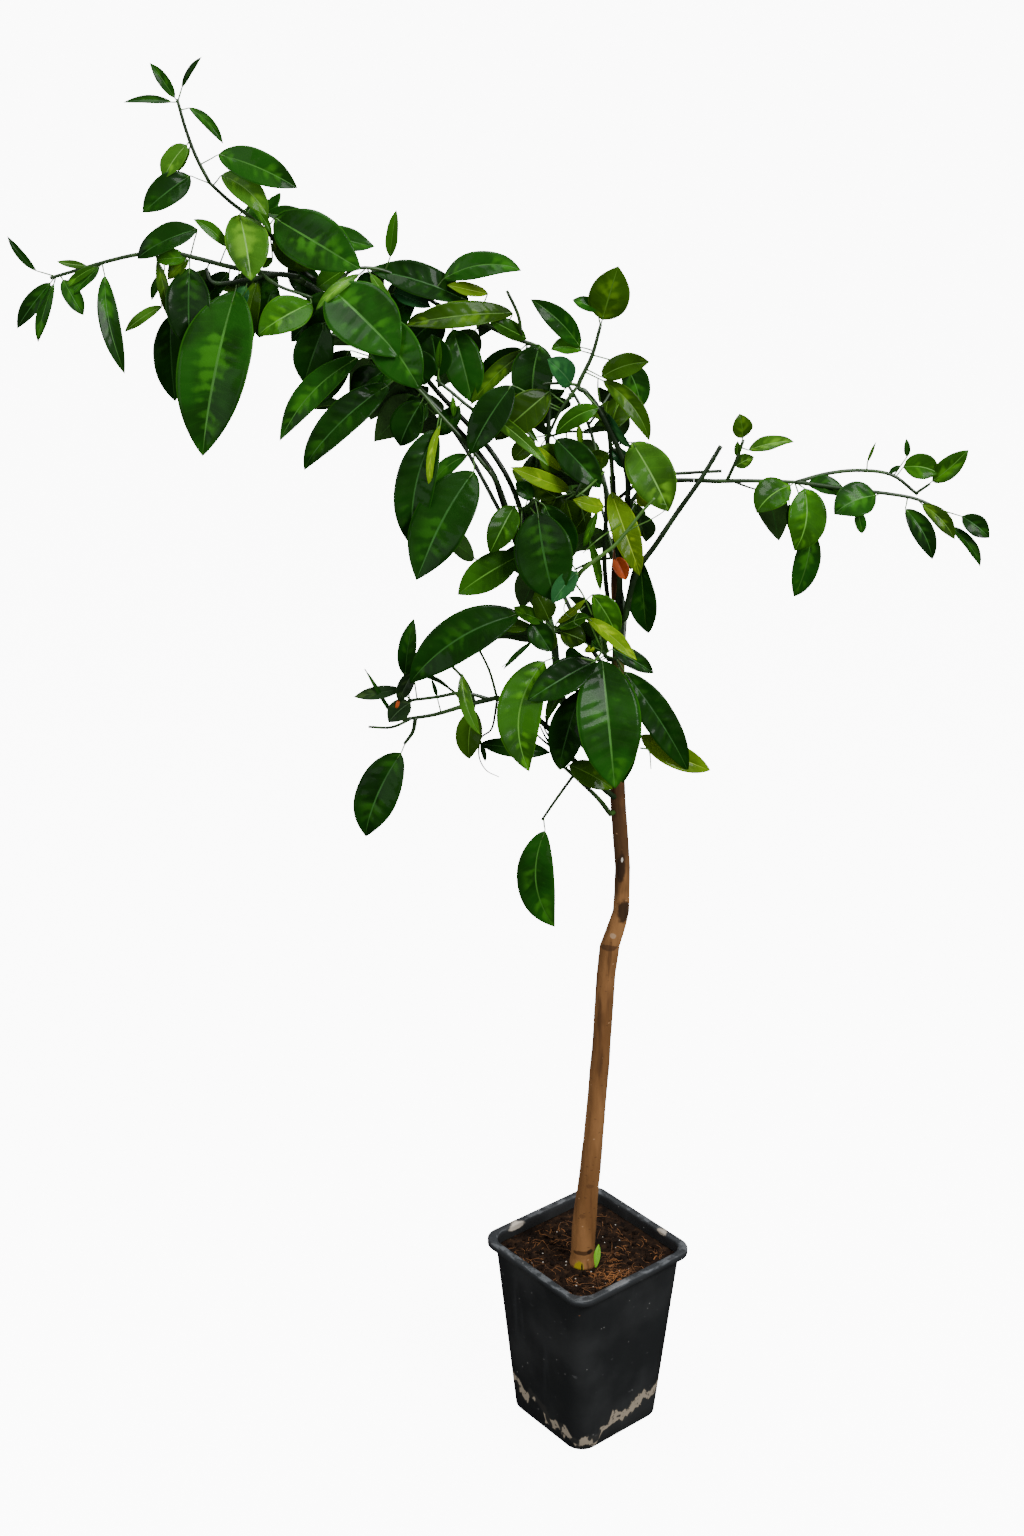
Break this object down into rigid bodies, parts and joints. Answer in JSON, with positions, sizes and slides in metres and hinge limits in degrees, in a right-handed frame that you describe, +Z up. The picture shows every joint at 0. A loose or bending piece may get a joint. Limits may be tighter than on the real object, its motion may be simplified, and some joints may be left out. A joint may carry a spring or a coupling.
{
  "type": "potted orange tree",
  "caption": "Young grafted orange tree with a bent slender trunk, arching canes and long drooping leaves, standing in a square dark nursery pot.",
  "frame": {"origin": "middle of the pot's flat underside, on the surface the pot stands on", "axes": "+Z up along the height, -Y towards the front from which the tree was pictured, +X to the viewer's right"},
  "size_m": [0.8156, 0.2723, 1.302],
  "materials": {
    "pot_plastic": "thin black plastic with a soft sheen",
    "soil": "loose dark brown fibrous potting mix",
    "bark": "dry brown bark with fine ridges",
    "cane": "smooth dark green young wood",
    "foliage": "glossy green leaves on green twigs"
  },
  "bodies": {
    "root": {"pot": "pot_plastic", "soil": "soil", "trunk": "bark", "left_leader": "cane", "low_cane": "cane", "long_cane": "cane", "high_cane": "cane", "mid_cane": "cane", "inner_cane": "cane", "centre_cane": "cane", "upright_cane": "cane", "right_cane": "cane", "upper_stub": "cane", "pruned_stub": "cane", "low_left_cane": "cane", "back_left_cane": "cane", "back_right_cane": "cane", "back_high_cane": "cane", "back_centre_cane": "cane", "crest": "foliage", "left_arm": "foliage", "left_drape": "foliage", "high_fringe": "foliage", "centre_top": "foliage", "centre_mid": "foliage", "middle": "foliage", "centre_right": "foliage", "right_arm": "foliage", "low_left": "foliage", "low_hang": "foliage", "skirt": "foliage", "waist": "foliage", "back_left": "foliage", "back_right": "foliage", "back_fringe": "foliage", "back_centre": "foliage"}
  },
  "joints": []
}
